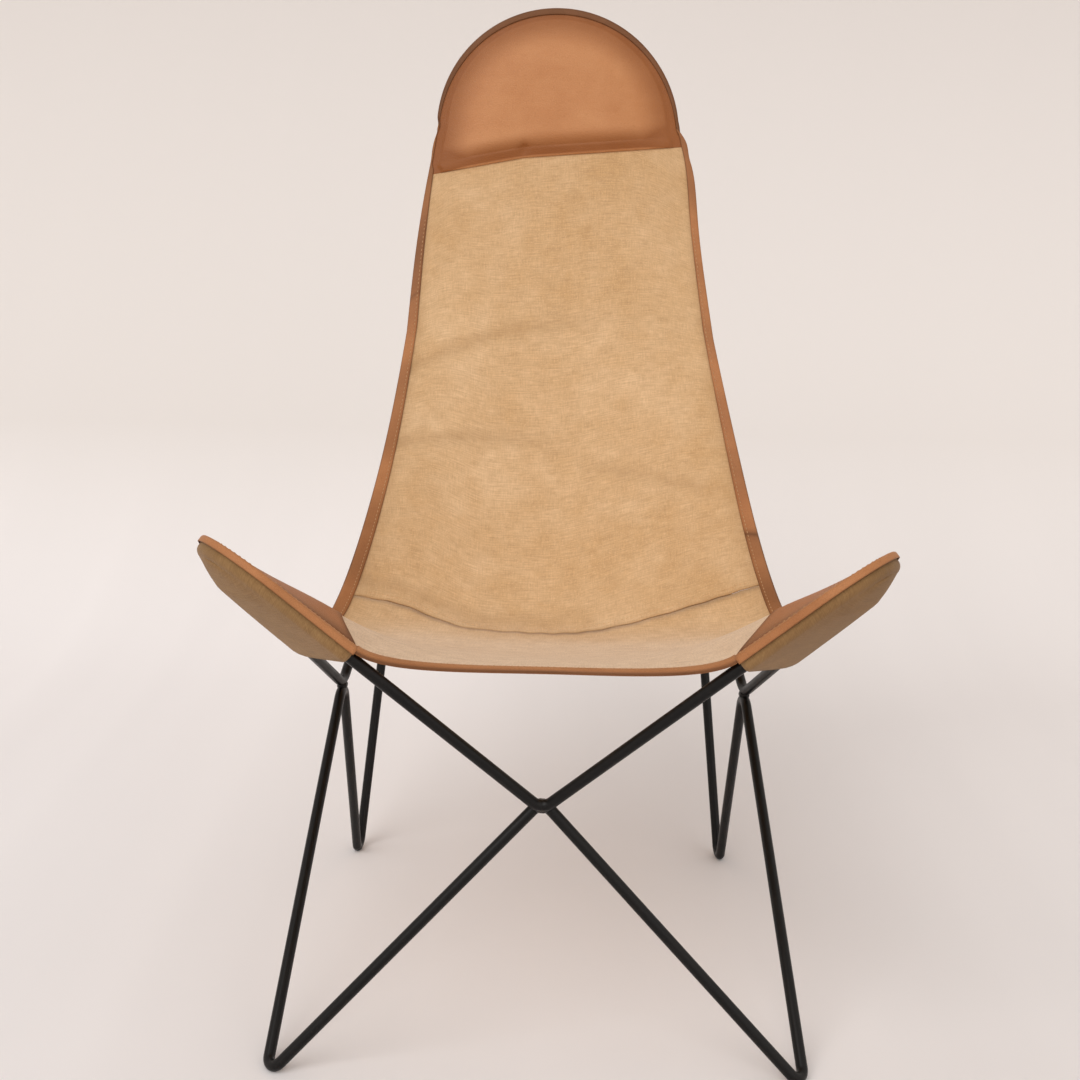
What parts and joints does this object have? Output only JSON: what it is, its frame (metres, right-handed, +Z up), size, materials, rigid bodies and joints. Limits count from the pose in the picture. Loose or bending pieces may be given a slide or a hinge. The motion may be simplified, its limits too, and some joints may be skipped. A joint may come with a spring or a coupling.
{
  "type": "sling lounge chair",
  "caption": "High-backed lounge chair: crossed legs of bent round bar carry a canvas sling with leather edging on a back hoop and front horns.",
  "frame": {"origin": "on the floor, under the middle of the chair's outline", "axes": "+Z up, -Y the way the chair faces, +X to the right as seen from in front of the chair"},
  "size_m": [0.6516, 0.8452, 1.1225],
  "materials": {
    "painted_steel": "semi-gloss black paint",
    "weld_steel": "semi-gloss black paint over weld bead",
    "canvas": "washed tan canvas",
    "leather": "smooth tan leather",
    "binding": "tan leather strip, burnished edge"
  },
  "bodies": {
    "root": {"back_hoop": "painted_steel", "front_cross_weld": "weld_steel", "left_front_leg": "painted_steel", "right_front_leg": "painted_steel", "left_horn_rod": "painted_steel", "right_horn_rod": "painted_steel", "left_side_weld": "weld_steel", "right_side_weld": "weld_steel", "left_brace_weld": "weld_steel", "right_brace_weld": "weld_steel", "left_horn_pocket": "canvas", "right_horn_pocket": "canvas", "left_horn_patch": "leather", "right_horn_patch": "leather", "left_side_binding": "binding", "right_side_binding": "binding", "left_horn_binding": "binding", "right_horn_binding": "binding", "head_patch": "leather", "seat_panel": "canvas", "back_panel": "canvas", "seam_tape": "canvas", "head_pocket": "canvas", "front_binding": "binding", "head_binding": "binding"}
  },
  "joints": []
}
